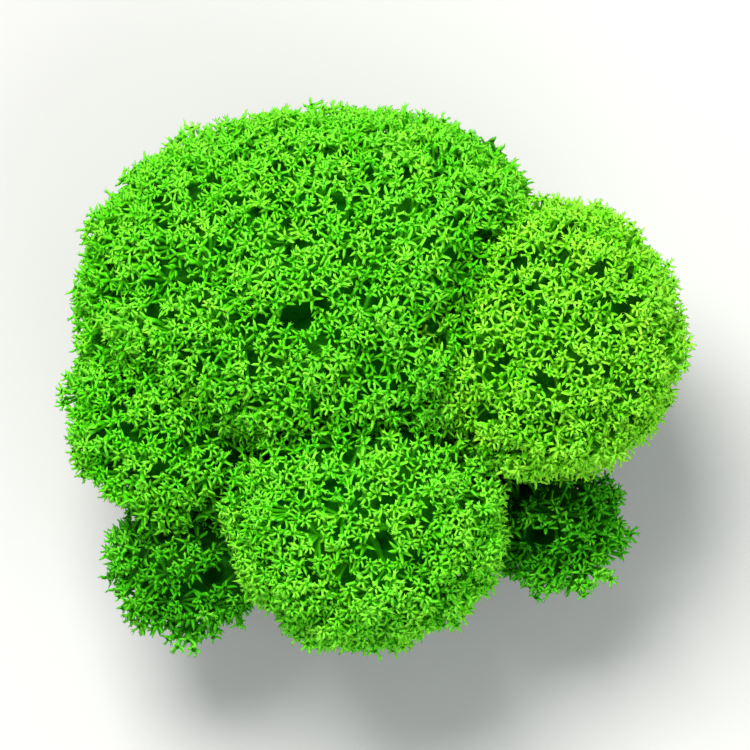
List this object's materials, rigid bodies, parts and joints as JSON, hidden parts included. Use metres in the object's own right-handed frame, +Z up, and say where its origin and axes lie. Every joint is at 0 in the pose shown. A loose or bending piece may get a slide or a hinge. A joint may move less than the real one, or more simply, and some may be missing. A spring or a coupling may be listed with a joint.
{
  "type": "reindeer moss clump",
  "caption": "Cushion-like clump of reindeer moss: rounded heads of finely forked twigs, pressed together over cut stalks that it stands on.",
  "frame": {"origin": "on the surface that the clump stands on, under the middle of its box", "axes": "+X along the clump's long side, towards the yellower head; +Y towards the back of the largest head; +Z up, out of the heads"},
  "size_m": [0.0496, 0.0442, 0.0388],
  "materials": {
    "moss_green": "matte, slightly downy, dyed bright green",
    "moss_lime": "matte, slightly downy, dyed yellowish green",
    "moss_deep": "matte, slightly downy, dyed deep green"
  },
  "bodies": {
    "root": {"crown_head": "moss_green", "right_head": "moss_lime", "front_head": "moss_green", "left_head": "moss_green", "low_head": "moss_deep", "small_head": "moss_deep"}
  },
  "joints": []
}
